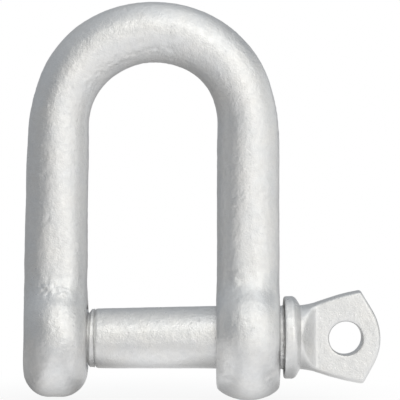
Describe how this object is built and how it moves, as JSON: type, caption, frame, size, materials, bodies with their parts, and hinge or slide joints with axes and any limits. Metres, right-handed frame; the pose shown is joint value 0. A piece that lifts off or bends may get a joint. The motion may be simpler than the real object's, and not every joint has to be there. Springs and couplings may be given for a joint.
{
  "type": "d shackle",
  "caption": "Galvanised D shackle: a forged bar bent to a straight-sided D with flattened eyes, closed by a screw pin with a collar and a flat tab",
  "frame": {"origin": "on the pin's axis, midway between the legs' inner faces", "axes": "+X along the pin from its threaded end to its tab, +Z from the pin to the crown, Y across the bow's plane"},
  "size_m": [0.0688, 0.0242, 0.0773],
  "materials": {
    "bow_zinc": "hot-dip galvanised, semi-matt, slightly rough",
    "pin_zinc": "hot-dip galvanised, semi-matt, fine grained"
  },
  "bodies": {
    "shackle_bow": {"bow": "bow_zinc"},
    "pin": {"screw_pin": "pin_zinc"}
  },
  "joints": [
    {"name": "pin_withdraw", "type": "slide", "parent": "shackle_bow", "child": "pin", "axis": [1, 0, 0], "range_m": [-0.00065, 0.065]}
  ]
}
